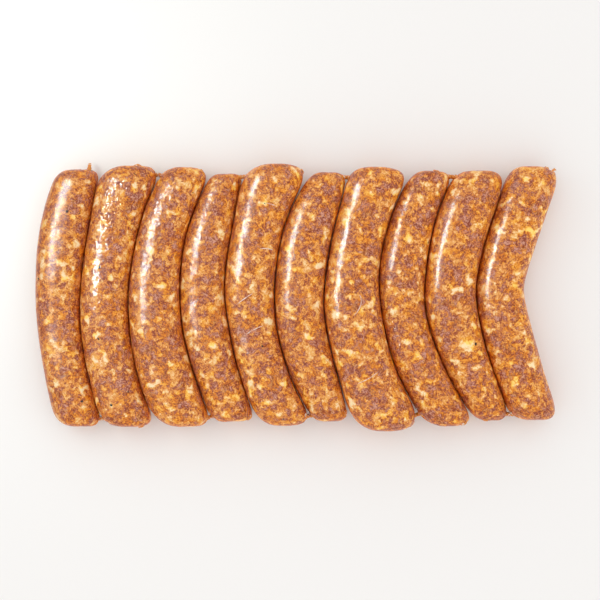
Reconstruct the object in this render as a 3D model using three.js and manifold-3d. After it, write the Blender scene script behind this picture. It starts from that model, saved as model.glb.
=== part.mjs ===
// A string of ten raw sausage links, folded back and forth so that the links lie side by side.
// Millimetres, +Z up. The links lie on Z = 0 and run along Y, and the row runs along X.
// The origin is the middle of the row's box, on the surface that the links lie on.
import * as THREE from "three";
import { mergeVertices } from "three/addons/utils/BufferGeometryUtils.js";
import Module from "manifold-3d";

const wasm = await Module();
wasm.setup();

// The walls where neighbouring links press together, from left to right. A wall stands furthest left
// at its elbow: x is its place there, and elbow is how far up the row that is. top and foot say how
// far it swings to the right SWING_REACH above and below the elbow, and bend how gently it does so.
const SWING_REACH = 75;
const WALLS = [
  { x: -178.6, elbow: 10, top: 14.1, foot: 8.9, bend: 1.95 },
  { x: -148.4, elbow: -10, top: 9.7, foot: 14.5, bend: 1.5 },
  { x: -115.2, elbow: -6, top: 15.1, foot: 17.2, bend: 2.15 },
  { x: -81.1, elbow: 6, top: 19.6, foot: 15.9, bend: 1.9 },
  { x: -50.8, elbow: 2, top: 11.3, foot: 17.4, bend: 1.55 },
  { x: -16.9, elbow: 2, top: 20.1, foot: 20.4, bend: 2.25 },
  { x: 15.4, elbow: -2, top: 14.2, foot: 16.8, bend: 1.35 },
  { x: 53.4, elbow: 10, top: 23.2, foot: 19.0, bend: 2.1 },
  { x: 83.8, elbow: 4, top: 17.8, foot: 26.4, bend: 1.85 },
  { x: 117.6, elbow: 2, top: 19.6, foot: 20.8, bend: 1.35 },
  { x: 150.8, elbow: 4, top: 24.4, foot: 21.0, bend: 1.25 },
];

// Each link's two ends: how far its rounded tip reaches along Y, how blunt it is, and how far the
// tip leans to the right, as a share of half the link's width. A round tip has a bluntness of 2.
const LINKS = [
  { top: { reach: 86.8, blunt: 3.0, swing: 0.45 }, foot: { reach: -88.5, blunt: 2.5, swing: 0.4 } },
  { top: { reach: 89.5, blunt: 2.5, swing: 0.4 }, foot: { reach: -88.5, blunt: 2.6, swing: 0.45 } },
  { top: { reach: 88.2, blunt: 2.8, swing: 0.3 }, foot: { reach: -88.5, blunt: 2.5, swing: 0.5 } },
  { top: { reach: 83.8, blunt: 3.4, swing: 0.35 }, foot: { reach: -84.8, blunt: 3.1, swing: 0.5 } },
  { top: { reach: 90.2, blunt: 2.6, swing: 0.3 }, foot: { reach: -87.5, blunt: 2.6, swing: 0.35 } },
  { top: { reach: 84.8, blunt: 3.0, swing: 0.2 }, foot: { reach: -84.8, blunt: 2.9, swing: 0.35 } },
  { top: { reach: 87.6, blunt: 3.2, swing: 0.2 }, foot: { reach: -90.5, blunt: 2.5, swing: 0.15 } },
  { top: { reach: 85.6, blunt: 3.0, swing: 0.3 }, foot: { reach: -87.7, blunt: 2.8, swing: 0.45 } },
  { top: { reach: 86.0, blunt: 2.7, swing: 0.35 }, foot: { reach: -84.2, blunt: 2.6, swing: 0.2 } },
  { top: { reach: 88.2, blunt: 3.0, swing: -0.1 }, foot: { reach: -84.0, blunt: 2.4, swing: 0.35 } },
];

// A link's section. A raw link sags, so it is wider than tall, lies on a flat strip, and is squared
// where its neighbours press on it.
const GAP = 0.5; // air between two pressed links
const HEIGHT_BASE = 10.5; // a link's height is this and a share of its width
const HEIGHT_PER_WIDTH = 0.55;
const WAIST = 0.47; // its widest level, as a share of its height
const SAG = 0.06; // how far the round section would sink below the surface, as a share of its height
const PRESSED = 0.09; // how far a flank that a neighbour presses stands upright, above and below the waist
const SQUARENESS = 2.4;
const CAP_LENGTH = 0.95; // length of a rounded end, as a share of half the link's width
const SQUARING = 0.3; // how nearly a link's rings stand square to its line, from 0 to 1

// Unevenness of the filling, along the link.
const WALL_RIPPLE = 0.3;
const TOP_RIPPLE = 0.7;
const RIPPLE_PITCH = 10.5;

// The casing twisted between two links: a short rope across the notch between two rounded ends.
// sunk is how far it is made to run into each link before it is cut back.
const TWIST = { length: 5, sunk: 4, radius: 1.9, flare: 2.6, level: 9.5, bulge: 1.5, turns: 1.5, lobes: 3 };
const TWIST_CLEARANCE = 0.3;
const SLIVER = 0.05; // the cut leaves no faces narrower than this
// The casing's loose tail at either end of the string: a short rope that hangs from the rounded end.
// inset is how many rings it starts from the tip, and side is which way from the link's line.
const TAIL = { radius: 1.9, length: 3.2, sunk: 5, drop: 6, turns: 1.2, lobes: 3 };
const TAIL_FIRST = { link: 0, inset: 0, side: 0 };
const TAIL_LAST = { link: LINKS.length - 1, inset: 2, side: 1 };

// How deep the twisted casing's lobes are, as a share of its radius.
const LOBE_DEPTH = 0.16;
const ROPE_SIDES = 12;
const ROPE_STEPS = 12;

// Sides of a link's section, and its rings along a rounded end and along the body between the ends.
const AROUND = 20;
const CAP_RINGS = 5;
const BODY_RINGS = 13;
const RINGS = 2 * CAP_RINGS + BODY_RINGS;

const mix = (a, b, share) => a + (b - a) * share;
const power = (value, exponent) => Math.sign(value) * Math.abs(value) ** exponent;

// Where wall number w stands at height y of the row.
function wallX(w, y) {
  const wall = WALLS[w];
  const rise = y - wall.elbow;
  const swing = rise > 0 ? wall.top : wall.foot;
  const ripple = WALL_RIPPLE * Math.sin(y / RIPPLE_PITCH + 2.3 * w);
  return wall.x + swing * Math.abs(rise / SWING_REACH) ** wall.bend + ripple;
}

const axisX = (n, y) => (wallX(n, y) + wallX(n + 1, y)) / 2;
const halfWidth = (n, y) => (wallX(n + 1, y) - wallX(n, y)) / 2;

// How far link n's line leans to the right for each millimetre of y.
function lean(n, y) {
  const step = 2;
  return (axisX(n, y + step) - axisX(n, y - step)) / (2 * step);
}

// A ring of link n: y of its middle, its size as a share of the full section, and its shift to the
// right as a share of half the width. Rings are counted from the foot, and grow lengthens the ends.
function ring(n, index, grow) {
  const { top, foot } = LINKS[n];
  const footCap = CAP_LENGTH * halfWidth(n, foot.reach);
  const topCap = CAP_LENGTH * halfWidth(n, top.reach);
  const cap = (count, { blunt, swing }) => {
    const angle = (count / CAP_RINGS) * (Math.PI / 2);
    const size = Math.sin(angle) ** (2 / blunt);
    return { along: Math.cos(angle) ** (2 / blunt), size, shift: swing * (1 - size) };
  };
  if (index < CAP_RINGS) {
    const { along, size, shift } = cap(index, foot);
    return { y: foot.reach + footCap - (footCap + grow) * along, size, shift };
  }
  if (index > RINGS - CAP_RINGS) {
    const { along, size, shift } = cap(RINGS - index, top);
    return { y: top.reach - topCap + (topCap + grow) * along, size, shift };
  }
  const share = (index - CAP_RINGS) / BODY_RINGS;
  return { y: mix(foot.reach + footCap, top.reach - topCap, share), size: 1, shift: 0 };
}

// A point on link n's skin, a distance grow outside it. across and up are the section's
// coordinates, from -1 to 1.
function skinPoint(n, { y, size, shift }, across, up, grow) {
  const half = halfWidth(n, y);
  const ripple = TOP_RIPPLE * Math.sin(y / RIPPLE_PITCH + 1.7 * n);
  const height = HEIGHT_BASE + HEIGHT_PER_WIDTH * 2 * half + ripple;
  const side = shift + size * across;
  const tilted = y - SQUARING * lean(n, y) * half * side;
  const x = mix(wallX(n, tilted) + GAP / 2 - grow, wallX(n + 1, tilted) - GAP / 2 + grow, (1 + side) / 2);
  const waist = WAIST * height;
  const isFree = (n === 0 && across < 0) || (n === LINKS.length - 1 && across > 0);
  const pressed = isFree ? 0 : PRESSED * height * size;
  const span = up > 0 ? height - waist : waist + SAG * height;
  const rise = Math.sign(up) * pressed + up * (span - pressed + grow);
  const z = Math.max(-grow, waist + size * rise);
  return new THREE.Vector3(x, tilted, z);
}

// Link n as a closed mesh: a sphere's rings, spread out along the link. The sphere is turned by half
// a face, so that an upright face stands at each flank.
function linkGeometry(n, grow = 0) {
  const sphere = new THREE.SphereGeometry(1, AROUND, RINGS, Math.PI / AROUND);
  sphere.deleteAttribute("normal");
  sphere.deleteAttribute("uv");
  const geometry = mergeVertices(sphere);
  const position = geometry.attributes.position;
  for (let i = 0; i < position.count; i++) {
    const point = new THREE.Vector3().fromBufferAttribute(position, i);
    const polar = Math.acos(THREE.MathUtils.clamp(-point.y, -1, 1));
    const index = Math.round((polar / Math.PI) * RINGS);
    const around = Math.atan2(point.z, point.x);
    const flat = 2 / SQUARENESS;
    const isPole = index === 0 || index === RINGS;
    const across = isPole ? 0 : power(Math.cos(around), flat);
    const up = isPole ? 0 : power(Math.sin(around), flat);
    const moved = skinPoint(n, ring(n, index, grow), across, -up, grow);
    position.setXYZ(i, moved.x, moved.y, moved.z);
  }
  return turnOutwards(geometry);
}

// A twisted rope with a lobed section along a path. widthAt gives its radius along the way.
function ropeGeometry(path, widthAt, { turns, lobes }) {
  const rod = new THREE.CylinderGeometry(1, 1, 1, ROPE_SIDES, ROPE_STEPS);
  rod.deleteAttribute("normal");
  rod.deleteAttribute("uv");
  const geometry = mergeVertices(rod);
  const position = geometry.attributes.position;
  const lift = new THREE.Vector3(0, 0, 1);
  for (let i = 0; i < position.count; i++) {
    const share = position.getY(i) + 0.5;
    const centre = path.getPoint(share);
    const ahead = path.getTangent(share);
    const sideways = new THREE.Vector3().crossVectors(ahead, lift).normalize();
    const upwards = new THREE.Vector3().crossVectors(sideways, ahead).normalize();
    const reach = Math.hypot(position.getX(i), position.getZ(i));
    const angle = Math.atan2(position.getZ(i), position.getX(i));
    const twist = 2 * Math.PI * turns * share;
    const radius = reach * widthAt(share) * (1 + LOBE_DEPTH * Math.cos(lobes * angle + twist));
    centre.addScaledVector(sideways, radius * Math.cos(angle));
    centre.addScaledVector(upwards, radius * Math.sin(angle));
    position.setXYZ(i, centre.x, centre.y, centre.z);
  }
  return turnOutwards(geometry);
}

// Reverses a closed mesh whose faces point inwards.
function turnOutwards(geometry) {
  const position = geometry.attributes.position;
  const index = geometry.index.array;
  const corner = (i) => new THREE.Vector3().fromBufferAttribute(position, index[i]);
  let volume = 0;
  for (let i = 0; i < index.length; i += 3) {
    volume += corner(i).dot(corner(i + 1).cross(corner(i + 2)));
  }
  if (volume < 0) {
    for (let i = 0; i < index.length; i += 3) {
      [index[i + 1], index[i + 2]] = [index[i + 2], index[i + 1]];
    }
  }
  return geometry;
}

function solidOf(geometry) {
  const vertProperties = new Float32Array(geometry.attributes.position.array);
  const triVerts = new Uint32Array(geometry.index.array);
  return new wasm.Manifold(new wasm.Mesh({ numProp: 3, vertProperties, triVerts }));
}

function geometryOf(solid) {
  const mesh = solid.getMesh();
  return new THREE.BufferGeometry()
    .setAttribute("position", new THREE.BufferAttribute(mesh.vertProperties, 3))
    .setIndex(new THREE.BufferAttribute(mesh.triVerts, 1));
}

// Cuts a rope back from the links it meets, so that a thin clearance is left. The piece between the
// links is the largest. What comes out past a rounded end is dropped.
function clearOfLinks(rope, links) {
  let solid = solidOf(rope);
  for (const n of links) {
    solid = solid.subtract(solidOf(linkGeometry(n, TWIST_CLEARANCE)));
  }
  const [largest] = solid.decompose().sort((a, b) => b.volume() - a.volume());
  return geometryOf(largest.asOriginal().simplify(SLIVER));
}

// Where the skin of link n stands on one side (-1 left, 1 right) at height y of the row. Past the
// link's tip there is no skin, and the answer is NaN.
function sideX(n, side, y) {
  let last = null;
  for (let index = 0; index <= RINGS; index++) {
    const next = skinPoint(n, ring(n, index, 0), side, 0, 0);
    if (last && (last.y - y) * (next.y - y) <= 0) {
      return mix(last.x, next.x, (y - last.y) / (next.y - last.y || 1));
    }
    last = next;
  }
  return NaN;
}

// The twist between link n and the next. It bridges the notch between their rounded ends where the
// notch is as wide as the twist is long. The string folds at the foot after an even link, counted
// from 0, and at the top after an odd one.
function twistGeometry(n) {
  const end = n % 2 === 0 ? "foot" : "top";
  const inwards = end === "top" ? -1 : 1;
  const step = 0.25 * inwards;
  let y = inwards * Math.max(inwards * LINKS[n][end].reach, inwards * LINKS[n + 1][end].reach) + step;
  const notch = () => sideX(n + 1, -1, y) - sideX(n, 1, y);
  while (!(notch() < TWIST.length)) y += step;
  const middle = new THREE.Vector3((sideX(n, 1, y) + sideX(n + 1, -1, y)) / 2, y, TWIST.level);
  const reach = new THREE.Vector3(TWIST.length / 2 + TWIST.sunk, 0, 0);
  const path = new THREE.QuadraticBezierCurve3(
    middle.clone().sub(reach),
    middle.clone().add(new THREE.Vector3(0, -inwards * TWIST.bulge, 0)),
    middle.clone().add(reach),
  );
  const widthAt = (share) => TWIST.radius + TWIST.flare * (2 * Math.abs(share - 0.5)) ** 2;
  return clearOfLinks(ropeGeometry(path, widthAt, TWIST), [n, n + 1]);
}

// A loose tail of casing, which hangs down towards the surface.
function tailGeometry({ link, inset, side }) {
  const start = skinPoint(link, ring(link, RINGS - inset, 0), side, 0, 0);
  start.z -= TAIL.drop / 2;
  const outwards = new THREE.Vector3(side, 1, 0).normalize();
  const path = new THREE.QuadraticBezierCurve3(
    start.clone().addScaledVector(outwards, -TAIL.sunk),
    start.clone().addScaledVector(outwards, TAIL.length),
    start.clone().addScaledVector(outwards, TAIL.length / 2).add(new THREE.Vector3(0, 0, -TAIL.drop)),
  );
  const widthAt = (share) => TAIL.radius * (1 - 0.5 * share);
  return clearOfLinks(ropeGeometry(path, widthAt, TAIL), [link]);
}

const filling = new THREE.MeshStandardMaterial({ color: 0xb0683a, roughness: 0.35, metalness: 0 });
const casing = new THREE.MeshStandardMaterial({ color: 0xdcae7c, roughness: 0.3, metalness: 0 });

function part(name, geometry, material) {
  const mesh = new THREE.Mesh(geometry, material);
  mesh.name = name;
  return mesh;
}

const links = new THREE.Group();
LINKS.forEach((_, n) => links.add(part(`link_${n + 1}`, linkGeometry(n), filling)));

const twists = new THREE.Group();
for (let n = 0; n < LINKS.length - 1; n++) {
  twists.add(part(`twist_${n + 1}_${n + 2}`, twistGeometry(n), casing));
}

const tails = new THREE.Group();
tails.add(part("tail_first", tailGeometry(TAIL_FIRST), casing));
tails.add(part("tail_last", tailGeometry(TAIL_LAST), casing));

const string = new THREE.Group();
string.name = "sausage_string";
string.add(links, twists, tails);

const box = new THREE.Box3().setFromObject(string);
const centre = box.getCenter(new THREE.Vector3());
string.position.set(-centre.x, -centre.y, -box.min.z);

export default string;
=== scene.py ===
"""A string of raw sausage links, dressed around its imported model.

Lengths are in metres and +Z is up. The links run along Y and lie side by side along X.
"""
import math
import random

import bpy
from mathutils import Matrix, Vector


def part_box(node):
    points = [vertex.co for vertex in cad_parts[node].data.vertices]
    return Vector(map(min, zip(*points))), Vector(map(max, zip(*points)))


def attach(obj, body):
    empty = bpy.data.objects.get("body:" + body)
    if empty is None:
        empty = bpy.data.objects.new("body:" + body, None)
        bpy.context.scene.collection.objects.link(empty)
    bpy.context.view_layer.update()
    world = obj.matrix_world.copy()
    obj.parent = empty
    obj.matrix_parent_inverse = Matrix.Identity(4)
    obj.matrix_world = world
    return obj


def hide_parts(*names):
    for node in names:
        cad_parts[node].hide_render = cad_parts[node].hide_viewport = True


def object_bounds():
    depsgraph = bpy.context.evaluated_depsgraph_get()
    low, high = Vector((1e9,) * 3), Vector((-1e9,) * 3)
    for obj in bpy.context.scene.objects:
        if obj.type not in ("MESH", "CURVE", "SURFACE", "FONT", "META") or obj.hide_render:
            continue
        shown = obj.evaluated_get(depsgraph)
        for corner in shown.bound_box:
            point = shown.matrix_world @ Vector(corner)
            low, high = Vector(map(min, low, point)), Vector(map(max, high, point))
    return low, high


bl_info = {
    "name": "Sausage Links",
    "version": (1, 0, 0),
    "blender": (4, 5, 0),
    "location": "3D Viewport > Sidebar > Sausages",
    "description": "Coarse raw sausage links in wet casing, with twists, tails, pepper and threads",
    "category": "Add Mesh",
}

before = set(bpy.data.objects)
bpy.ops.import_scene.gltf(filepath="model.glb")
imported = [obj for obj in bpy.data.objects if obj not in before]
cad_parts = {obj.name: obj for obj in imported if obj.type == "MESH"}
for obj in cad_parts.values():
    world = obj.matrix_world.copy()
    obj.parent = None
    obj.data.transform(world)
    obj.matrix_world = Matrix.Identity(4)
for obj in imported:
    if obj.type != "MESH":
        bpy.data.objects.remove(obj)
CAD_BOX = [list(corner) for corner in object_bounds()]
MM = 0.001
LINK_COUNT = sum(name.startswith("link_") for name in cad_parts)
LINK_NAMES = [f"link_{n + 1}" for n in range(LINK_COUNT)]


class SausageLinkSizes(bpy.types.PropertyGroup):
    sides: bpy.props.IntProperty(
        name="Sides", description="Faces around a link's cage", default=20, min=8, max=48
    )
    rings: bpy.props.IntProperty(
        name="Rings", description="Rings along a link's cage", default=30, min=12, max=60
    )
    levels: bpy.props.IntProperty(
        name="Smoothing", description="Subdivision levels of a link", default=3, min=1, max=4
    )
    lump_height: bpy.props.FloatProperty(
        name="Lump height", description="How far the filling's broad lumps stand out",
        default=0.24 * MM, unit="LENGTH",
    )
    grain_height: bpy.props.FloatProperty(
        name="Grain height", description="How far the coarse grain stands out",
        default=0.08 * MM, unit="LENGTH",
    )
    hug: bpy.props.FloatProperty(
        name="Hug", description="How far a link's flanks are pushed out, to make up for smoothing",
        default=0.2 * MM, unit="LENGTH",
    )
    fold_height: bpy.props.FloatProperty(
        name="Fold height", description="Depth of the folds where the casing gathers into a twist",
        default=0.8 * MM, unit="LENGTH",
    )
    fold_reach: bpy.props.FloatProperty(
        name="Fold reach", description="How far the gathered folds run from a twist",
        default=18 * MM, unit="LENGTH",
    )
    crinkle_height: bpy.props.FloatProperty(
        name="Crinkle height", description="Height of the crinkles where the casing is slack",
        default=0.4 * MM, unit="LENGTH",
    )
    fat_height: bpy.props.FloatProperty(
        name="Fat height", description="How far the large lumps of fat stand out",
        default=0.05 * MM, unit="LENGTH",
    )


class SausageMeatColours(bpy.types.PropertyGroup):
    lean: bpy.props.FloatVectorProperty(
        name="Lean", description="Darkest grains of the lean meat", subtype="COLOR", size=3,
        default=(0.26, 0.050, 0.022),
    )
    meat: bpy.props.FloatVectorProperty(
        name="Meat", description="Common colour of the lean meat", subtype="COLOR", size=3,
        default=(0.425, 0.149, 0.092),
    )
    sinew: bpy.props.FloatVectorProperty(
        name="Sinew", description="Lightest grains of the lean meat", subtype="COLOR", size=3,
        default=(0.66, 0.34, 0.245),
    )
    rim: bpy.props.FloatVectorProperty(
        name="Rim", description="Paprika's red orange, where fat meets meat", subtype="COLOR", size=3,
        default=(0.53, 0.135, 0.028),
    )
    amber: bpy.props.FloatVectorProperty(
        name="Amber", description="Stained fat", subtype="COLOR", size=3,
        default=(0.75, 0.300, 0.052),
    )
    fat: bpy.props.FloatVectorProperty(
        name="Fat", description="Fat with a little stain", subtype="COLOR", size=3,
        default=(0.84, 0.44, 0.13),
    )
    pale_fat: bpy.props.FloatVectorProperty(
        name="Pale fat", description="Middle of the larger lumps of fat", subtype="COLOR", size=3,
        default=(0.97, 0.76, 0.46),
    )
    stain: bpy.props.FloatVectorProperty(
        name="Stain", description="What paprika leaves of a colour where it has run", subtype="COLOR",
        size=3, default=(1.04, 0.92, 0.35),
    )
    # Painted shade: this multiplier darkens and deepens the colour along a link's flanks, where they
    # turn sideways away from the light.
    flank_shade: bpy.props.FloatVectorProperty(
        name="Flank", description="What the casing leaves of a colour along a link's flanks",
        subtype="COLOR", size=3, default=(1.08, 0.80, 0.50),
    )
    # Painted shade: this multiplier darkens the first link's outer flank, where less light falls.
    outer_flank_shade: bpy.props.FloatVectorProperty(
        name="Outer flank", description="What is left of a colour on the first link's outer flank",
        subtype="COLOR", size=3, default=(0.74, 0.56, 0.44),
    )
    # Painted shade: this multiplier darkens and deepens the colour at a link's two tips, where the ends
    # turn away from the light.
    tip: bpy.props.FloatVectorProperty(
        name="Tip", description="What the gathered casing leaves of a colour at a link's two tips",
        subtype="COLOR", size=3, default=(0.97, 0.87, 0.66),
    )
    pepper: bpy.props.FloatVectorProperty(
        name="Pepper", description="Cracked black pepper", subtype="COLOR", size=3,
        default=(0.020, 0.015, 0.012),
    )
    husk: bpy.props.FloatVectorProperty(
        name="Husk", description="Brown of the pepper where its husk is broken", subtype="COLOR",
        size=3, default=(0.13, 0.075, 0.045),
    )
    casing: bpy.props.FloatVectorProperty(
        name="Casing", description="Twisted casing with a little filling behind it", subtype="COLOR",
        size=3, default=(0.62, 0.22, 0.05),
    )
    thread: bpy.props.FloatVectorProperty(
        name="Thread", description="Pale threads on the casing", subtype="COLOR", size=3,
        default=(0.84, 0.70, 0.60),
    )


class SausageRopeSizes(bpy.types.PropertyGroup):
    rings: bpy.props.IntProperty(
        name="Rings", description="Rings along a twist or tail", default=14, min=6, max=40
    )
    lobes: bpy.props.IntProperty(
        name="Lobes", description="Strands of casing that show in a twist", default=4, min=3, max=9
    )
    turn: bpy.props.FloatProperty(
        name="Turn", description="How far a twist winds from end to end",
        default=math.radians(330), subtype="ANGLE",
    )
    radius: bpy.props.FloatProperty(
        name="Radius", description="Radius in the middle of a twist", default=1.4 * MM, unit="LENGTH"
    )
    flare: bpy.props.FloatProperty(
        name="Flare", description="How much wider a twist is where it meets a link",
        default=1.2 * MM, unit="LENGTH",
    )
    bulge: bpy.props.FloatProperty(
        name="Bulge", description="How far a twist bows out of its notch", default=0.8 * MM,
        unit="LENGTH",
    )
    sunk: bpy.props.FloatProperty(
        name="Sunk", description="How far a twist or tail runs into a link", default=2.0 * MM,
        unit="LENGTH",
    )


class SausageExtras(bpy.types.PropertyGroup):
    specks: bpy.props.IntProperty(
        name="Specks", description="Specks of pepper, less those that miss the string", default=70,
        min=12, max=400,
    )
    thread_radius: bpy.props.FloatProperty(
        name="Thread radius", description="Radius of a pale thread", default=0.42 * MM, unit="LENGTH"
    )


class SausageStageSettings(bpy.types.PropertyGroup):
    floor: bpy.props.FloatVectorProperty(
        name="Floor", description="Colour of the floor", subtype="COLOR", size=3,
        default=(0.87, 0.86, 0.85),
    )
    surround: bpy.props.FloatProperty(
        name="Surround", description="Strength of the soft light from all around", default=1.06
    )
    surround_colour: bpy.props.FloatVectorProperty(
        name="Surround colour", description="Colour of the soft light from all around",
        subtype="COLOR", size=3, default=(1.0, 0.99, 0.98),
    )
    lamp_power: bpy.props.FloatProperty(
        name="Lamp power", description="Power of the small lamp at the upper left",
        default=6.4, unit="POWER",
    )
    lamp_colour: bpy.props.FloatVectorProperty(
        name="Lamp colour", description="Colour of the lamp", subtype="COLOR", size=3,
        default=(0.85, 1.0, 0.95),
    )
    lamp_length: bpy.props.FloatProperty(
        name="Lamp length", description="Length of the lamp", default=240 * MM, unit="LENGTH"
    )
    lamp_width: bpy.props.FloatProperty(
        name="Lamp width", description="Width of the lamp", default=80 * MM, unit="LENGTH"
    )
    floor_size: bpy.props.FloatProperty(
        name="Floor size", description="Length of the floor's sides", default=20.0, unit="LENGTH"
    )
    frame_width: bpy.props.FloatProperty(
        name="Frame width", description="Width of what the picture shows at the links' height",
        default=404.4 * MM, unit="LENGTH",
    )
    lens: bpy.props.FloatProperty(
        name="Lens", description="Focal length in millimetres", default=70.0
    )


class SausageScene(bpy.types.PropertyGroup):
    links: bpy.props.PointerProperty(type=SausageLinkSizes)
    meat: bpy.props.PointerProperty(type=SausageMeatColours)
    ropes: bpy.props.PointerProperty(type=SausageRopeSizes)
    extras: bpy.props.PointerProperty(type=SausageExtras)
    stage: bpy.props.PointerProperty(type=SausageStageSettings)


def settings():
    return bpy.context.scene.sausages


class Pattern:
    """Writes a node tree as a formula: each method adds one node and returns what it gives."""

    def __init__(self, tree):
        self.tree = tree

    def node(self, kind, inputs=None, **options):
        made = self.tree.nodes.new(kind)
        for option, value in options.items():
            setattr(made, option, value)
        for name, value in (inputs or {}).items():
            if isinstance(value, bpy.types.NodeSocket):
                self.tree.links.new(value, made.inputs[name])
            else:
                made.inputs[name].default_value = value
        return made

    def math(self, operation, a, b=0.0, c=0.0):
        return self.node("ShaderNodeMath", {0: a, 1: b, 2: c}, operation=operation).outputs[0]

    def vector(self, operation, a, b=(0, 0, 0)):
        made = self.node("ShaderNodeVectorMath", {0: a, 1: b}, operation=operation)
        scalar = operation in ("DOT_PRODUCT", "LENGTH", "DISTANCE")
        return made.outputs["Value" if scalar else "Vector"]

    def scaled(self, vector, factor):
        made = self.node("ShaderNodeVectorMath", {0: vector, "Scale": factor}, operation="SCALE")
        return made.outputs["Vector"]

    def noise(self, place, size, detail=2.0, roughness=0.5, colour=False):
        """Soft noise whose lumps are about size millimetres wide."""
        inputs = {"Vector": place, "Scale": 1 / size, "Detail": detail, "Roughness": roughness}
        return self.node("ShaderNodeTexNoise", inputs).outputs["Color" if colour else "Fac"]

    def cells(self, place, size):
        """Irregular cells, size millimetres apart, each with a random vector of its own."""
        return self.node("ShaderNodeTexVoronoi", {"Vector": place, "Scale": 1 / size}).outputs["Color"]

    def remap(self, value, low, high, to_low=0.0, to_high=1.0, smooth=True):
        inputs = {"Value": value, "From Min": low, "From Max": high, "To Min": to_low, "To Max": to_high}
        kind = "SMOOTHSTEP" if smooth else "LINEAR"
        return self.node("ShaderNodeMapRange", inputs, interpolation_type=kind).outputs[0]

    def mix_colour(self, share, a, b, blend="MIX"):
        inputs = {0: share, 6: a, 7: b}
        return self.node("ShaderNodeMix", inputs, data_type="RGBA", blend_type=blend).outputs[2]

    def ramp(self, value, stops):
        """A colour ramp through (place, colour) stops."""
        made = self.node("ShaderNodeValToRGB", {"Fac": value})
        elements = made.color_ramp.elements
        elements.remove(elements[1])
        elements[0].position, elements[0].color = stops[0]
        for position, colour in stops[1:]:
            elements.new(position).color = colour
        return made.outputs["Color"]

    def attribute(self, name, output="Fac"):
        return self.node("ShaderNodeAttribute", attribute_name=name).outputs[output]

    def wander(self, place, size, reach):
        """place, pushed about by up to half of reach millimetres, in lumps of size millimetres."""
        push = self.vector("SUBTRACT", self.noise(place, size, colour=True), (0.5, 0.5, 0.5))
        return self.vector("ADD", place, self.scaled(push, reach))


# How wide the filling's fatty zones, its lumps and bits of fat and its large lumps are, in
# millimetres; how sharply fat stands out from meat; and how much fat there is in all.
FAT_ZONE, FAT_LUMP, FAT_BIT, FAT_LARGE = 12.0, 4.5, 1.8, 6.0
FAT_CONTRAST, FAT_SHARE = 2.6, -2.65


def filling_place(pattern, position, seed):
    """The place in the filling, in millimetres. The seed gives every link a filling of its own."""
    return pattern.vector("ADD", pattern.scaled(position, 1 / MM), seed)


def ground_fat(pattern, place):
    """The fat of the filling: the place pushed about, and how fatty it is there, from below 0 in
    lean meat to more than 1 in the middle of a large lump."""
    roamed = pattern.wander(pattern.wander(place, 6.0, 4.0), 1.8, 1.2)
    zones = pattern.noise(roamed, FAT_ZONE, detail=1.0)
    lumps = pattern.noise(roamed, FAT_LUMP, detail=1.5)
    bits = pattern.noise(pattern.vector("ADD", roamed, (40.0, 8.0, 3.0)), FAT_BIT, detail=1.0)
    fatty = pattern.math("MULTIPLY_ADD", zones, 0.70, lumps)
    fatty = pattern.math("MULTIPLY_ADD", bits, 0.35, fatty)
    fatty = pattern.math("MULTIPLY_ADD", fatty, FAT_CONTRAST, FAT_SHARE)
    elsewhere = pattern.vector("ADD", pattern.wander(place, 3.0, 3.0), (5.0, 60.0, 21.0))
    large = pattern.remap(pattern.noise(elsewhere, FAT_LARGE, detail=0.5), 0.57, 0.77)
    return roamed, pattern.math("MULTIPLY_ADD", large, 1.2, fatty)


def new_material(name):
    material = bpy.data.materials.new(name)
    material.use_nodes = True
    return material, Pattern(material.node_tree), material.node_tree.nodes["Principled BSDF"]


def rgba(colour):
    return (*colour, 1.0)


def wet_finish(pattern, shader, colour, bump, roughness, coat_roughness):
    """A clear wet coat over a colour, both broken up by the same bump."""
    for socket, value in (
        ("Roughness", roughness), ("Specular IOR Level", 0.1),
        ("Coat Weight", 0.6), ("Coat Roughness", coat_roughness), ("Coat IOR", 1.38),
    ):
        shader.inputs[socket].default_value = value
    pattern.tree.links.new(colour, shader.inputs["Base Color"])
    for socket in ("Normal", "Coat Normal"):
        pattern.tree.links.new(bump.outputs["Normal"], shader.inputs[socket])


def soft_inside(shader, weight, radius, scale):
    """Lets light travel under a surface: how much, how far by colour, and at what scale."""
    shader.inputs["Subsurface Weight"].default_value = weight
    shader.inputs["Subsurface Radius"].default_value = radius
    shader.inputs["Subsurface Scale"].default_value = scale


# How wide the grain of the meat, its chunks and the thin strands of fat in it are, in millimetres,
# and how a place is shrunk along its fibres, which draws them out.
GRAIN, CHUNK, STRAND = 1.3, 4.0, 2.4
DRAWN_OUT = (0.35, 1.0, 1.0)


def ground_grain(pattern, place, roamed):
    """How light the fine grain of the meat is at a place, and how much of a thin strand of fat
    runs there, both from 0 to 1."""
    grain = pattern.noise(roamed, GRAIN, detail=1.2, roughness=0.95)
    grain = pattern.remap(grain, 0.35, 0.65, smooth=False)
    turn = pattern.scaled(pattern.cells(roamed, 6.0), math.tau)
    turned = pattern.node(
        "ShaderNodeVectorRotate", {"Vector": place, "Rotation": turn}, rotation_type="EULER_XYZ"
    ).outputs["Vector"]
    drawn_out = pattern.vector("MULTIPLY", turned, DRAWN_OUT)
    fibres = pattern.noise(drawn_out, GRAIN, detail=2.0, roughness=0.8)
    fibres = pattern.remap(fibres, 0.3, 0.7, smooth=False)
    grain = pattern.math("MULTIPLY_ADD", grain, 0.5, pattern.math("MULTIPLY", fibres, 0.5))
    middle = pattern.math("SUBTRACT", pattern.noise(drawn_out, STRAND, detail=1.0), 0.5)
    return grain, pattern.remap(pattern.math("ABSOLUTE", middle), 0.04, 0.0)


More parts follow.
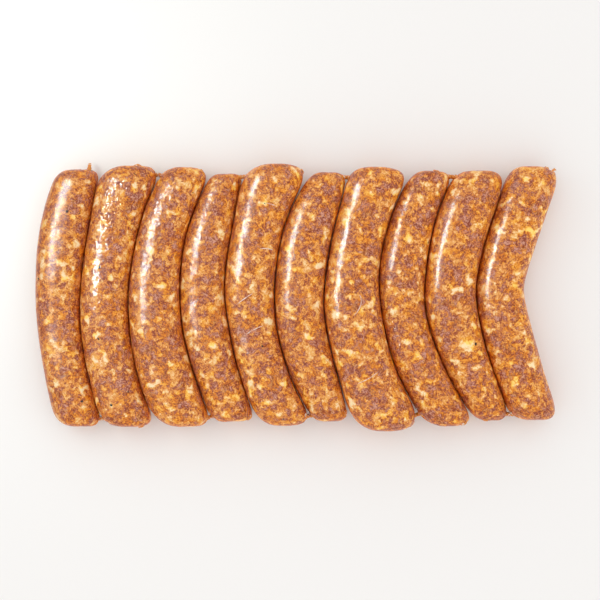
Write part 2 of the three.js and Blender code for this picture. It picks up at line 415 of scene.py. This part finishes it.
def filling_colour(pattern, place):
    """The colour of coarse meat with stained and pale fat."""
    colours = settings().meat
    roamed, fatty = ground_fat(pattern, place)
    grain, strand = ground_grain(pattern, place, roamed)
    chunk = pattern.noise(roamed, CHUNK, detail=1.0)
    chunk = pattern.remap(chunk, 0.35, 0.65, -0.12, 0.12, smooth=False)
    lean = pattern.ramp(pattern.math("ADD", grain, chunk), [
        (0.27, rgba(colours.lean)),
        (0.50, rgba(colours.meat)),
        (0.72, rgba(colours.sinew)),
    ])
    uneven = pattern.math("SUBTRACT", grain, 0.5)
    richness = pattern.math("MULTIPLY_ADD", uneven, 1.1, fatty)
    richness = pattern.math("MULTIPLY_ADD", strand, 0.5, richness)
    fat = pattern.ramp(pattern.math("MULTIPLY", richness, 0.70), [
        (0.00, rgba(colours.rim)),
        (0.28, rgba(colours.amber)),
        (0.54, rgba(colours.fat)),
        (1.00, rgba(colours.pale_fat)),
    ])
    colour = pattern.mix_colour(pattern.remap(richness, -0.30, 0.15), lean, fat)
    aside = pattern.vector("ADD", roamed, (31.0, 17.0, 5.0))
    run = pattern.remap(pattern.noise(aside, 6.5, detail=2.0, roughness=0.6), 0.46, 0.62)
    return pattern.mix_colour(run, colour, rgba(colours.stain), blend="MULTIPLY")


# How strongly ripples of slack casing and the soft blur of moisture break up a highlight.
RIPPLE_STRENGTH, BLUR_STRENGTH = 3.0, 0.4


def link_material():
    """The filling under a wet, clear casing, with painted shade along the flanks, on the first link's
    outer flank and at the tips.
    """
    material, pattern, shader = new_material("sausage_filling")
    colours = settings().meat
    position = pattern.node("ShaderNodeTexCoord").outputs["Object"]
    place = filling_place(pattern, position, pattern.attribute("seed", "Vector"))
    colour = filling_colour(pattern, place)
    # Painted shade: the flanks, the first link's outer flank and the tips are darkened where the surface
    # turns away from the light.
    for attribute, start, full, painted_shade in (
        ("flank_shade", 0.35, 0.95, colours.flank_shade),
        ("outer", 0.30, 0.85, colours.outer_flank_shade),
        ("tip", 0.25, 0.90, colours.tip),
    ):
        share = pattern.remap(pattern.attribute(attribute), start, full)
        colour = pattern.mix_colour(share, colour, rgba(painted_shade), blend="MULTIPLY")
    crinkle = pattern.attribute("crinkle")
    film = pattern.node("ShaderNodeSeparateXYZ", {0: pattern.attribute("film", "Vector")}).outputs
    ripples = pattern.noise(pattern.wander(place, 3.0, 3.0), 2.4, detail=0.5)
    grains = pattern.noise(place, 0.9, detail=2.0, roughness=0.7)
    blur = pattern.noise(place, 0.3, detail=1.0)
    height = pattern.math("MULTIPLY", ripples, pattern.math("MULTIPLY", crinkle, RIPPLE_STRENGTH))
    height = pattern.math("MULTIPLY_ADD", grains, film["X"], height)
    blur = pattern.math("MULTIPLY", blur, BLUR_STRENGTH)
    height = pattern.math("MULTIPLY_ADD", blur, film["Y"], height)
    bump = pattern.node("ShaderNodeBump", {"Height": height, "Strength": 1.0, "Distance": 0.2 * MM})
    wet_finish(pattern, shader, colour, bump, roughness=0.5, coat_roughness=0.10)
    soft_inside(shader, 0.2, (1.0, 0.35, 0.15), 0.6 * MM)
    return material


def casing_material():
    """Wet casing, stained by the filling and pale where it is twisted dry."""
    material, pattern, shader = new_material("wet_casing")
    colours = settings().meat
    position = pattern.node("ShaderNodeTexCoord").outputs["Object"]
    place = pattern.scaled(position, 1 / MM)
    behind = pattern.remap(pattern.noise(place, 1.6, detail=2.0), 0.40, 0.60)
    colour = pattern.mix_colour(behind, rgba(colours.casing), rgba(colours.amber))
    dry = pattern.remap(pattern.noise(place, 2.2, detail=1.0), 0.56, 0.64)
    colour = pattern.mix_colour(dry, colour, rgba(colours.thread))
    creases = pattern.noise(pattern.vector("MULTIPLY", place, (0.4, 1.0, 1.0)), 0.7, detail=2.0)
    bump = pattern.node("ShaderNodeBump", {"Height": creases, "Strength": 0.8, "Distance": 0.3 * MM})
    wet_finish(pattern, shader, colour, bump, roughness=0.4, coat_roughness=0.12)
    soft_inside(shader, 0.35, (1.0, 0.5, 0.3), 1.2 * MM)
    return material


def pepper_material():
    """Cracked black pepper, with brown where the husk is broken."""
    material, pattern, shader = new_material("cracked_pepper")
    position = pattern.node("ShaderNodeTexCoord").outputs["Object"]
    place = pattern.scaled(position, 1 / MM)
    broken = pattern.remap(pattern.noise(place, 0.6, detail=2.0), 0.5, 0.7)
    colours = settings().meat
    colour = pattern.mix_colour(broken, rgba(colours.pepper), rgba(colours.husk))
    husk = pattern.noise(place, 0.25, detail=2.0)
    bump = pattern.node("ShaderNodeBump", {"Height": husk, "Strength": 0.7, "Distance": 0.1 * MM})
    wet_finish(pattern, shader, colour, bump, roughness=0.5, coat_roughness=0.2)
    return material


def thread_material():
    """Pale threads of sinew and fat on the casing."""
    material, pattern, shader = new_material("pale_thread")
    position = pattern.node("ShaderNodeTexCoord").outputs["Object"]
    place = pattern.scaled(position, 1 / MM)
    thin = pattern.remap(pattern.noise(place, 1.6, detail=2.0), 0.4, 0.62)
    colours = settings().meat
    colour = pattern.mix_colour(thin, rgba(colours.thread), rgba(colours.sinew))
    strands = pattern.noise(place, 0.4, detail=1.0)
    bump = pattern.node("ShaderNodeBump", {"Height": strands, "Strength": 0.5, "Distance": 0.1 * MM})
    wet_finish(pattern, shader, colour, bump, roughness=0.4, coat_roughness=0.15)
    return material


# Noise swings by about a third, and this factor makes that a swing of about one.
NOISE_SWING = 3.0
# Where along Y the crinkles of a link's lower half end and those of its upper half are whole.
LOWER_HALF, UPPER_HALF = -20 * MM, 60 * MM
# How many folds gather around a twist, how unevenly, and how near it they are deepest.
FOLD_COUNT, FOLD_UNREST, FOLD_CORE = 11.0, 9.0, 2 * MM
# The levels above the floor between which a link's flat underside turns into its lumpy skin.
UNDERSIDE, SKIN = 0.3 * MM, 3 * MM


def skin_shape():
    """The node group that gives a smooth link its lumps, grain, crinkles and gathered folds."""
    tree = bpy.data.node_groups.new("link_skin", "GeometryNodeTree")
    sockets = [
        ("Geometry", "NodeSocketGeometry"), ("Seed", "NodeSocketVector"),
        ("Foot twist", "NodeSocketVector"), ("Foot axis", "NodeSocketVector"),
        ("Top twist", "NodeSocketVector"), ("Top axis", "NodeSocketVector"),
        ("Crinkle low", "NodeSocketFloat"), ("Crinkle high", "NodeSocketFloat"),
        ("Film", "NodeSocketVector"), ("Outer side", "NodeSocketFloat"),
    ]
    for name, kind in sockets:
        tree.interface.new_socket(name=name, in_out="INPUT", socket_type=kind)
    tree.interface.new_socket(name="Geometry", in_out="OUTPUT", socket_type="NodeSocketGeometry")
    pattern = Pattern(tree)
    given = pattern.node("NodeGroupInput").outputs
    sizes = settings().links
    position = pattern.node("GeometryNodeInputPosition").outputs[0]
    normal = pattern.node("GeometryNodeInputNormal").outputs[0]
    facings = pattern.node("ShaderNodeSeparateXYZ", {0: normal}).outputs
    facing = pattern.math("ABSOLUTE", facings["Z"])
    place = filling_place(pattern, position, given["Seed"])
    fatty = pattern.remap(ground_fat(pattern, place)[1], 0.5, 1.1)
    broad = pattern.math("SUBTRACT", pattern.noise(place, 9.0, detail=1.0), 0.5)
    grain = pattern.math("SUBTRACT", pattern.noise(place, 3.2, detail=1.0), 0.5)
    height = pattern.math("MULTIPLY", broad, NOISE_SWING * sizes.lump_height)
    height = pattern.math("MULTIPLY_ADD", grain, NOISE_SWING * sizes.grain_height, height)
    height = pattern.math("MULTIPLY_ADD", fatty, sizes.fat_height, height)
    pressed = pattern.remap(facing, 0.0, 0.6, 0.25, 1.0)
    height = pattern.math("MULTIPLY", height, pressed)
    height = pattern.math("ADD", height, pattern.remap(facing, 0.0, 0.5, sizes.hug, 0.0))

    along = pattern.node("ShaderNodeSeparateXYZ", {0: position}).outputs["Y"]
    share = pattern.remap(along, LOWER_HALF, UPPER_HALF)
    crinkle = pattern.node(
        "ShaderNodeMix", {0: share, 2: given["Crinkle low"], 3: given["Crinkle high"]}
    ).outputs[0]
    ridges = pattern.noise(pattern.wander(place, 4.0, 4.0), 2.6, detail=1.0)
    ridges = pattern.math("ABSOLUTE", pattern.math("SUBTRACT", ridges, 0.5))
    slack = pattern.math("MULTIPLY", crinkle, facing)
    slack = pattern.math("MULTIPLY", slack, -NOISE_SWING * sizes.crinkle_height)
    height = pattern.math("MULTIPLY_ADD", ridges, slack, height)

    for end in ("Foot", "Top"):
        away = pattern.vector("SUBTRACT", position, given[f"{end} twist"])
        side = pattern.vector("CROSS_PRODUCT", given[f"{end} axis"], (0, 0, 1))
        lift = pattern.node("ShaderNodeSeparateXYZ", {0: away}).outputs["Z"]
        angle = pattern.math("ARCTAN2", lift, pattern.vector("DOT_PRODUCT", away, side))
        unrest = pattern.math("MULTIPLY", pattern.noise(place, 7.0), FOLD_UNREST)
        wave = pattern.math("SINE", pattern.math("MULTIPLY_ADD", angle, FOLD_COUNT, unrest))
        distance = pattern.vector("LENGTH", away)
        near = pattern.remap(distance, sizes.fold_reach, FOLD_CORE)
        fold = pattern.math("MULTIPLY", near, sizes.fold_height)
        height = pattern.math("MULTIPLY_ADD", wave, fold, height)
        crinkle = pattern.math("MULTIPLY_ADD", near, 0.8, crinkle)

    level = pattern.node("ShaderNodeSeparateXYZ", {0: position}).outputs["Z"]
    height = pattern.math("MULTIPLY", height, pattern.remap(level, UNDERSIDE, SKIN))
    moved = pattern.node("GeometryNodeSetPosition", {
        "Geometry": given["Geometry"], "Offset": pattern.scaled(normal, height),
    }).outputs[0]
    # The last three attributes mark where the link's material paints shade: along the flanks, at the
    # tips and on the first link's outer flank.
    for name, kind, value in (
        ("seed", "FLOAT_VECTOR", given["Seed"]),
        ("film", "FLOAT_VECTOR", given["Film"]),
        ("crinkle", "FLOAT", crinkle),
        ("flank_shade", "FLOAT", pattern.math("SUBTRACT", 1.0, facing)),
        ("tip", "FLOAT", pattern.math("ABSOLUTE", facings["Y"])),
        ("outer", "FLOAT", pattern.math("MULTIPLY", facings["X"], given["Outer side"])),
    ):
        store = pattern.node("GeometryNodeStoreNamedAttribute", data_type=kind, domain="POINT")
        tree.links.new(moved, store.inputs["Geometry"])
        store.inputs["Name"].default_value = name
        tree.links.new(value, store.inputs["Value"])
        moved = store.outputs[0]
    end = pattern.node("NodeGroupOutput")
    tree.links.new(moved, end.inputs[0])
    return tree


def apply_node_group(piece, tree, values):
    """Runs a geometry node group over a piece for good, with values for its named inputs."""
    modifier = piece.modifiers.new(tree.name, "NODES")
    modifier.node_group = tree
    for item in tree.interface.items_tree:
        if item.in_out == "INPUT" and item.name in values:
            modifier[item.identifier] = values[item.name]
    make_active(piece)
    bpy.ops.object.modifier_apply(modifier=modifier.name)


def make_active(piece):
    """Selects one object alone and makes it the active one."""
    bpy.ops.object.select_all(action="DESELECT")
    piece.select_set(True)
    bpy.context.view_layer.objects.active = piece


def finish_mesh(name):
    """Leaves edit mode, settles the active piece at the origin, and names it."""
    bpy.ops.mesh.select_all(action="SELECT")
    bpy.ops.mesh.normals_make_consistent(inside=False)
    bpy.ops.object.mode_set(mode="OBJECT")
    piece = bpy.context.active_object
    piece.name = piece.data.name = name
    bpy.ops.object.transform_apply(location=True, rotation=True, scale=True)
    bpy.ops.object.shade_smooth()
    return piece


def hit(node, origin, direction):
    """Where a ray first meets a node or piece."""
    found, point, _, _ = node.ray_cast(Vector(origin), Vector(direction))
    if not found:
        raise RuntimeError(f"no skin of {node.name} at {tuple(origin)}")
    return point


def section(node, y, waist):
    """The middle of a link's section at y, and its half width and half height."""
    left = hit(node, (-1, y, waist), (1, 0, 0)).x
    right = hit(node, (1, y, waist), (-1, 0, 0)).x
    x = (left + right) / 2
    top = hit(node, (x, y, 1), (0, 0, -1)).z
    bottom = hit(node, (x, y, -1), (0, 0, 1)).z
    return Vector((x, y, (top + bottom) / 2)), (right - left) / 2, (top - bottom) / 2


# How much closer together a link's sections stand at its ends, from 0 for evenly to 1.
END_CROWDING = 0.65


def link_stations(node, count):
    """The sections of a link's cage, from its foot to its top, closer together at the ends."""
    foot = min((v.co for v in node.data.vertices), key=lambda co: co.y)
    top = max((v.co for v in node.data.vertices), key=lambda co: co.y)
    stations = []
    for n in range(count):
        even = (n + 0.5) / count
        crowded = 0.5 - 0.5 * math.cos(math.pi * even)
        share = (1 - END_CROWDING) * even + END_CROWDING * crowded
        place = foot.lerp(top, share)
        stations.append(section(node, place.y, place.z))
    return stations


def loft_link(name):
    """A link's cage: a ring of faces drawn out from the foot to the top through its sections."""
    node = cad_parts[name]
    sizes = settings().links
    stations = link_stations(node, sizes.rings)
    centre, wide, high = stations[0]
    bpy.ops.object.select_all(action="DESELECT")
    bpy.ops.mesh.primitive_circle_add(
        vertices=sizes.sides, radius=wide, fill_type="NGON",
        location=centre, rotation=(math.pi / 2, 0, 0),
    )
    bpy.ops.object.mode_set(mode="EDIT")
    bpy.ops.mesh.select_all(action="SELECT")
    bpy.ops.transform.resize(value=(1, 1, high / wide), center_override=centre)
    for following, next_wide, next_high in stations[1:]:
        bpy.ops.mesh.extrude_region_move(TRANSFORM_OT_translate={"value": following - centre})
        bpy.ops.transform.resize(
            value=(next_wide / wide, 1, next_high / high), center_override=following
        )
        centre, wide, high = following, next_wide, next_high
    return finish_mesh(f"skin_{name}")


def wrap_and_smooth(piece, node, levels):
    """Lays a cage onto the solid that it stands for, and smooths it."""
    wrap = piece.modifiers.new("wrap", "SHRINKWRAP")
    wrap.target = node
    wrap.wrap_method = "NEAREST_SURFACEPOINT"
    smooth = piece.modifiers.new("smooth", "SUBSURF")
    smooth.levels = smooth.render_levels = levels
    make_active(piece)
    bpy.ops.object.modifier_apply(modifier="wrap")
    bpy.ops.object.modifier_apply(modifier="smooth")


def casing_ends(name):
    """Where the twist or tail at the foot and the one at the top of a link are."""
    low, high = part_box(name)
    middle = (low + high) / 2
    number = name.split("_")[1]
    own_tail = {LINK_NAMES[0]: "tail_first", LINK_NAMES[-1]: "tail_last"}.get(name)
    ends = {}
    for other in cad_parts:
        kind, *links = other.split("_")
        if other == own_tail or (kind == "twist" and number in links):
            near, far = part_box(other)
            place = (near + far) / 2
            ends["Top" if place.y > middle.y else "Foot"] = place
    return ends


# The casing of a link: how crinkled it is in its lower and in its upper half, how grainy its film of
# moisture is, and how softly that blurs a highlight, each from 0 to 1. The others have the common one.
CASINGS = {
    "link_1": (0.1, 0.0, 0.0, 1.0),
    "link_2": (0.3, 1.0, 0.15, 0.0),
    "link_3": (0.3, 0.7, 0.6, 0.0),
    "link_4": (0.2, 0.5, 0.7, 0.0),
    "link_5": (0.1, 0.1, 0.7, 0.0),
    "link_6": (0.1, 0.1, 0.8, 0.0),
}
COMMON_CASING = (0.15, 0.2, 0.6, 0.0)


class SAUSAGE_OT_links(bpy.types.Operator):
    """Models each link's skin over its solid and gives it its filling"""
    bl_idname = "sausage.links"
    bl_label = "Links"

    def execute(self, context):
        material = link_material()
        tree = skin_shape()
        draw = random.Random(7)
        for name in LINK_NAMES:
            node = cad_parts[name]
            piece = loft_link(name)
            wrap_and_smooth(piece, node, settings().links.levels)
            low_crinkle, high_crinkle, grain, softness = CASINGS.get(name, COMMON_CASING)
            values = {
                "Seed": [draw.uniform(0, 900) for _ in range(3)],
                "Crinkle low": low_crinkle,
                "Crinkle high": high_crinkle,
                "Film": [grain, softness, 0],
                # Only the first link gets painted shade on its outer flank.
                "Outer side": -1.0 if name == LINK_NAMES[0] else 0.0,
            }
            for end, place in casing_ends(name).items():
                inwards = Vector((0, -1 if end == "Top" else 1, 0))
                values[f"{end} twist"] = list(place)
                values[f"{end} axis"] = list(inwards)
            apply_node_group(piece, tree, values)
            piece.data.materials.append(material)
            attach(piece, "root")
            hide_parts(name)
        return {"FINISHED"}


def loft_rope(name, stations, lobes, turn):
    """A lobed, twisted rope along X. stations holds each ring's middle and radius."""
    (centre, radius), *rest = stations
    bpy.ops.object.select_all(action="DESELECT")
    bpy.ops.mesh.primitive_circle_add(
        vertices=4 * lobes, radius=radius, fill_type="NGON", location=centre,
        rotation=(0, -math.pi / 2, 0),
    )
    bpy.ops.object.mode_set(mode="EDIT")
    bpy.ops.mesh.select_all(action="SELECT")
    for following, next_radius in rest:
        bpy.ops.mesh.extrude_region_move(TRANSFORM_OT_translate={"value": following - centre})
        size = next_radius / radius
        bpy.ops.transform.resize(value=(size, size, size), center_override=following)
        centre, radius = following, next_radius
    piece = finish_mesh(name)
    furrow_and_twist(piece, [place for place, _ in stations], lobes, turn)
    return piece


# How deep the furrows between a rope's lobes are, as a share of its radius.
LOBE_DEPTH = 0.2


def furrow_and_twist(piece, path, lobes, turn):
    """Presses furrows between a rope's lobes, and winds them along the rope."""
    rings = len(path)
    around = 4 * lobes
    for n, vertex in enumerate(piece.data.vertices):
        ring, step = divmod(n, around)
        centre = path[min(ring, rings - 1)]
        away = vertex.co - centre
        wave = math.cos(math.tau * lobes * step / around)
        angle = turn * ring / (rings - 1)
        away = Vector((0, away.y, away.z)) * (1 + LOBE_DEPTH * wave)
        y = away.y * math.cos(angle) - away.z * math.sin(angle)
        z = away.y * math.sin(angle) + away.z * math.cos(angle)
        vertex.co = centre + Vector((0, y, z))


def smooth_piece(piece, levels=2):
    """Rounds off a coarse piece."""
    smooth = piece.modifiers.new("smooth", "SUBSURF")
    smooth.levels = smooth.render_levels = levels
    make_active(piece)
    bpy.ops.object.modifier_apply(modifier="smooth")
    bpy.ops.object.shade_smooth()


def dress_casing(piece, material, node_name):
    piece.data.materials.append(material)
    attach(piece, "root")
    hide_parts(node_name)


def sunk_end(link, middle, depth):
    """Where a twist with this middle ends, a depth behind the nearest point of a link's skin."""
    _, point, _, _ = bpy.data.objects[f"skin_{link}"].closest_point_on_mesh(middle)
    return point + depth * (point - middle).normalized()


class SAUSAGE_OT_twists(bpy.types.Operator):
    """Models the twisted casing between neighbouring links"""
    bl_idname = "sausage.twists"
    bl_label = "Twists"

    def execute(self, context):
        material = casing_material()
        sizes = settings().ropes
        for n in range(LINK_COUNT - 1):
            name = f"twist_{n + 1}_{n + 2}"
            low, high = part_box(name)
            middle = (low + high) / 2
            outwards = math.copysign(1, middle.y)
            start, end = (sunk_end(link, middle, sizes.sunk) for link in LINK_NAMES[n:n + 2])
            stations = []
            for ring in range(sizes.rings):
                share = ring / (sizes.rings - 1)
                near_end = abs(2 * share - 1)
                place = start.lerp(end, share)
                place.y += outwards * sizes.bulge * (1 - near_end**2)
                stations.append((place, sizes.radius + sizes.flare * near_end**2))
            piece = loft_rope(f"casing_{name}", stations, sizes.lobes, sizes.turn)
            smooth_piece(piece)
            dress_casing(piece, material, name)
        return {"FINISHED"}


# A tail's radius where it leaves its link and at its tip, as shares of a twist's.
TAIL_ROOT, TAIL_TIP = 1.15, 0.60


class SAUSAGE_OT_tails(bpy.types.Operator):
    """Models the loose tails of casing at the string's two ends"""
    bl_idname = "sausage.tails"
    bl_label = "Tails"

    def execute(self, context):
        material = bpy.data.materials["wet_casing"]
        sizes = settings().ropes
        for name, heading in (("tail_first", math.pi / 2), ("tail_last", math.pi / 4)):
            low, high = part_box(name)
            middle = (low + high) / 2
            start = Vector((middle.x, low.y, high.z - sizes.radius))
            if name == "tail_last":
                start.x = low.x
            length = high.y - low.y + sizes.sunk
            stations = []
            for ring in range(sizes.rings):
                share = ring / (sizes.rings - 1)
                x = (length + sizes.sunk) * math.sin(share * math.pi / 2) - sizes.sunk
                z = -(high.z - low.z - 2 * sizes.radius) * share**1.5
                radius = sizes.radius * (TAIL_ROOT + (TAIL_TIP - TAIL_ROOT) * share)
                stations.append((Vector((x, 0, z)), radius))
            piece = loft_rope(f"casing_{name}", stations, sizes.lobes, sizes.turn)
            piece.location = start
            piece.rotation_euler.z = heading
            make_active(piece)
            bpy.ops.object.transform_apply(location=True, rotation=True, scale=True)
            smooth_piece(piece)
            dress_casing(piece, material, name)
        return {"FINISHED"}


def rough_ball(point, normal, radius, roughness, evenness, seed, shape):
    """A ball on the skin, roughened at random and pressed into shape: its two sides, and its height
    along the way that the skin faces."""
    bpy.ops.object.select_all(action="DESELECT")
    bpy.ops.mesh.primitive_ico_sphere_add(
        subdivisions=2, radius=radius, location=point,
        rotation=normal.to_track_quat("Z", "Y").to_euler(),
    )
    bpy.ops.object.mode_set(mode="EDIT")
    bpy.ops.mesh.select_all(action="SELECT")
    bpy.ops.transform.vertex_random(offset=roughness * radius, uniform=evenness, seed=seed)
    bpy.ops.object.mode_set(mode="OBJECT")
    ball = bpy.context.active_object
    ball.scale = shape
    bpy.ops.object.transform_apply(location=True, rotation=True, scale=True)
    return ball


def join_pieces(pieces, name, material):
    """Joins small pieces into one, with a name and a material."""
    bpy.ops.object.select_all(action="DESELECT")
    for piece in pieces:
        piece.select_set(True)
    bpy.context.view_layer.objects.active = pieces[0]
    bpy.ops.object.join()
    joined = bpy.context.active_object
    joined.name = joined.data.name = name
    joined.data.materials.append(material)
    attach(joined, "root")
    return joined


# Small knots where casing is gathered at the tips, from above: x, y and radius in millimetres from
# the middle of the row.
KNOTS = (
    (-106.8, 86.5, 2.6), (-63.7, 83.5, 1.8), (4.4, 85.0, 1.7), (93.3, 82.0, 2.0), (168.8, 87.0, 1.8),
    (-104.1, -87.5, 2.0), (-29.0, -81.9, 2.2), (4.4, -79.9, 2.0), (33.6, -77.9, 2.5),
    (75.8, -84.0, 2.4), (110.5, -80.6, 2.0), (127.0, -81.6, 1.6),
)
# Where a knot sits above the floor, in millimetres, its shape, and the share of its radius that sinks.
KNOT_LEVEL = 18.0
KNOT_SHAPE = (1.2, 0.8, 0.7)
KNOT_SUNK = 0.2


def nearest_skin(place):
    """The point of the string's skin that is nearest to a place, and the way it faces."""
    found = []
    for name in LINK_NAMES:
        _, point, normal, _ = bpy.data.objects[f"skin_{name}"].closest_point_on_mesh(place)
        found.append(((point - place).length, name, point, normal))
    _, _, point, normal = min(found)
    return point, normal


class SAUSAGE_OT_knots(bpy.types.Operator):
    """Gathers the casing into small knots at the tips of the links"""
    bl_idname = "sausage.knots"
    bl_label = "Knots"

    def execute(self, context):
        knots = []
        for n, (x, y, radius) in enumerate(KNOTS):
            point, normal = nearest_skin(Vector((x, y, KNOT_LEVEL)) * MM)
            middle = point - KNOT_SUNK * radius * MM * normal
            knot = rough_ball(
                middle, normal, radius * MM, roughness=0.5, evenness=0.4, seed=n, shape=KNOT_SHAPE
            )
            smooth_piece(knot)
            knots.append(knot)
        piece = join_pieces(knots, "casing_knots", bpy.data.materials["wet_casing"])
        return {"FINISHED"}


def skin_at(x, y):
    """The point of the string's skin that shows from above at x and y, and the way it faces."""
    best = None
    for name in LINK_NAMES:
        piece = bpy.data.objects[f"skin_{name}"]
        found, point, normal, _ = piece.ray_cast(Vector((x, y, 1)), Vector((0, 0, -1)))
        if found and (best is None or point.z > best[0].z):
            best = point, normal
    return best


# Where pepper shows from above, in millimetres from the middle of the row.
PEPPER_SPOTS = (
    (-152.0, 56.9), (-171.6, 12.4), (-131.1, -27.4), (-104.3, 36.7), (-22.6, -32.3), (-142.5, -69.1),
    (-122.3, -71.2), (-8.6, -80.6), (3.8, 84.3), (87.8, 36.5), (118.9, -30.7), (-130.4, 19.8),
)
# The least and the greatest radius of a speck that shows, and of a scattered one, in millimetres.
PLAIN_SPECK = (0.75, 0.95)
SMALL_SPECK = (0.2, 0.45)


class SAUSAGE_OT_pepper(bpy.types.Operator):
    """Scatters specks of cracked pepper under the casing, where they show and at random elsewhere"""
    bl_idname = "sausage.pepper"
    bl_label = "Pepper"

    def execute(self, context):
        draw = random.Random(11)
        spots = [(x * MM, y * MM) for x, y in PEPPER_SPOTS]
        low, high = Vector(CAD_BOX[0]), Vector(CAD_BOX[1])
        while len(spots) < settings().extras.specks:
            spots.append((draw.uniform(low.x, high.x), draw.uniform(low.y, high.y)))
        specks = []
        for n, (x, y) in enumerate(spots):
            found = skin_at(x, y)
            if not found:
                continue
            point, normal = found
            radius = draw.uniform(*(PLAIN_SPECK if n < len(PEPPER_SPOTS) else SMALL_SPECK)) * MM
            shape = (draw.uniform(0.8, 1.3), draw.uniform(0.6, 1.0), 0.35)
            speck = rough_ball(
                point, normal, radius, roughness=0.35, evenness=0.6, seed=n, shape=shape
            )
            specks.append(speck)
        piece = join_pieces(specks, "pepper_specks", pepper_material())
        return {"FINISHED"}


# Threads on the casing: start, middle and end from above, in millimetres from the middle of the row.
THREADS = (
    ((-39.7, -4.8), (-34.0, -0.2), (-29.0, 2.6)),
    ((-33.4, -24.6), (-28.2, -20.4), (-22.1, -18.8)),
    ((-23.8, 32.2), (-19.6, 33.0), (-15.6, 31.6)),
    ((-20.1, 62.3), (-13.2, 61.2), (-7.8, 57.8)),
    ((40.6, -56.8), (48.6, -54.2), (54.0, -48.9)),
    ((-23.5, -69.1), (-15.4, -60.2), (-6.6, -53.4)),
    ((41.7, 1.6), (46.6, -3.6), (38.3, -11.9)),
)
# How far a thread's middle stands off the skin, as a share of its radius, and how blunt it ends.
THREAD_LIFT, THREAD_BLUNTNESS = 0.2, 0.12


class SAUSAGE_OT_threads(bpy.types.Operator):
    """Lays the pale threads that cling to the casing"""
    bl_idname = "sausage.threads"
    bl_label = "Threads"

    def execute(self, context):
        radius = settings().extras.thread_radius
        threads = []
        for corners in THREADS:
            start, middle, end = (Vector((x, y)) * MM for x, y in corners)
            bpy.ops.object.select_all(action="DESELECT")
            bpy.ops.curve.primitive_nurbs_path_add()
            thread = context.active_object
            points = thread.data.splines[0].points
            for k, point in enumerate(points):
                share = k / (len(points) - 1)
                over = start.lerp(middle, share).lerp(middle.lerp(end, share), share)
                skin, normal = skin_at(over.x, over.y)
                point.co = (*(skin + THREAD_LIFT * radius * normal), 1)
                taper = THREAD_BLUNTNESS + (1 - 2 * THREAD_BLUNTNESS) * share
                point.radius = math.sin(math.pi * taper)
            thread.data.splines[0].use_endpoint_u = True
            thread.data.bevel_depth = radius
            thread.data.bevel_resolution = 2
            thread.data.use_fill_caps = True
            bpy.ops.object.convert(target="MESH")
            threads.append(context.active_object)
        piece = join_pieces(threads, "casing_threads", thread_material())
        bpy.ops.object.shade_smooth()
        return {"FINISHED"}


# The floor lies just under the string. The lamp hangs at the left and is turned towards the middle
# of the row's length. The camera looks straight down, and its sensor's width is in millimetres.
FLOOR_LEVEL = -0.3 * MM
LAMP_PLACE = Vector((-330, 150, 360)) * MM
CAMERA_AIM = Vector((2.36, -1.74, 14.0)) * MM
SENSOR_WIDTH = 36.0


class SAUSAGE_OT_stage(bpy.types.Operator):
    """Sets the floor, the lights and the camera"""
    bl_idname = "sausage.stage"
    bl_label = "Stage"

    def execute(self, context):
        stage = settings().stage
        bpy.ops.object.select_all(action="DESELECT")
        bpy.ops.mesh.primitive_plane_add(size=stage.floor_size, location=(0, 0, FLOOR_LEVEL))
        floor = context.active_object
        floor.name = "floor"
        material, _, shader = new_material("floor_paint")
        shader.inputs["Base Color"].default_value = rgba(stage.floor)
        shader.inputs["Roughness"].default_value = 0.6
        floor.data.materials.append(material)

        world = bpy.data.worlds.new("surround")
        world.use_nodes = True
        light = world.node_tree.nodes["Background"]
        light.inputs["Color"].default_value = rgba(stage.surround_colour)
        light.inputs["Strength"].default_value = stage.surround
        context.scene.world = world

        bpy.ops.object.light_add(type="AREA", location=LAMP_PLACE)
        lamp = context.active_object
        lamp.name = "window_lamp"
        towards = Vector((0, LAMP_PLACE.y, 0)) - LAMP_PLACE
        lamp.rotation_euler = towards.to_track_quat("-Z", "Y").to_euler()
        lamp.visible_diffuse = False
        lamp.data.shape = "RECTANGLE"
        lamp.data.size = stage.lamp_length
        lamp.data.size_y = stage.lamp_width
        lamp.data.energy = stage.lamp_power
        lamp.data.color = stage.lamp_colour

        distance = stage.frame_width * stage.lens / SENSOR_WIDTH
        above = CAMERA_AIM + Vector((0, 0, distance))
        bpy.ops.object.camera_add(location=above, rotation=(0, 0, 0))
        camera = context.active_object
        camera.data.lens = stage.lens
        camera.data.sensor_width = SENSOR_WIDTH
        context.scene.camera = camera
        context.scene.view_settings.view_transform = "Standard"
        return {"FINISHED"}


class SAUSAGE_PT_panel(bpy.types.Panel):
    """Lists the steps that make the string"""
    bl_idname = "SAUSAGE_PT_panel"
    bl_label = "Sausage Links"
    bl_space_type = "VIEW_3D"
    bl_region_type = "UI"
    bl_category = "Sausages"

    def draw(self, context):
        for step in STEPS:
            self.layout.operator(step.bl_idname)


STEPS = (
    SAUSAGE_OT_links, SAUSAGE_OT_twists, SAUSAGE_OT_tails, SAUSAGE_OT_knots, SAUSAGE_OT_pepper,
    SAUSAGE_OT_threads, SAUSAGE_OT_stage,
)
CLASSES = (
    SausageLinkSizes, SausageMeatColours, SausageRopeSizes, SausageExtras, SausageStageSettings,
    SausageScene, *STEPS, SAUSAGE_PT_panel,
)


def register():
    for made in CLASSES:
        bpy.utils.register_class(made)
    bpy.types.Scene.sausages = bpy.props.PointerProperty(type=SausageScene)


def unregister():
    del bpy.types.Scene.sausages
    for made in reversed(CLASSES):
        bpy.utils.unregister_class(made)


def main():
    register()
    bpy.ops.sausage.links()
    bpy.ops.sausage.twists()
    bpy.ops.sausage.tails()
    bpy.ops.sausage.knots()
    bpy.ops.sausage.pepper()
    bpy.ops.sausage.threads()
    bpy.ops.sausage.stage()


if __name__ == "__main__":
    main()
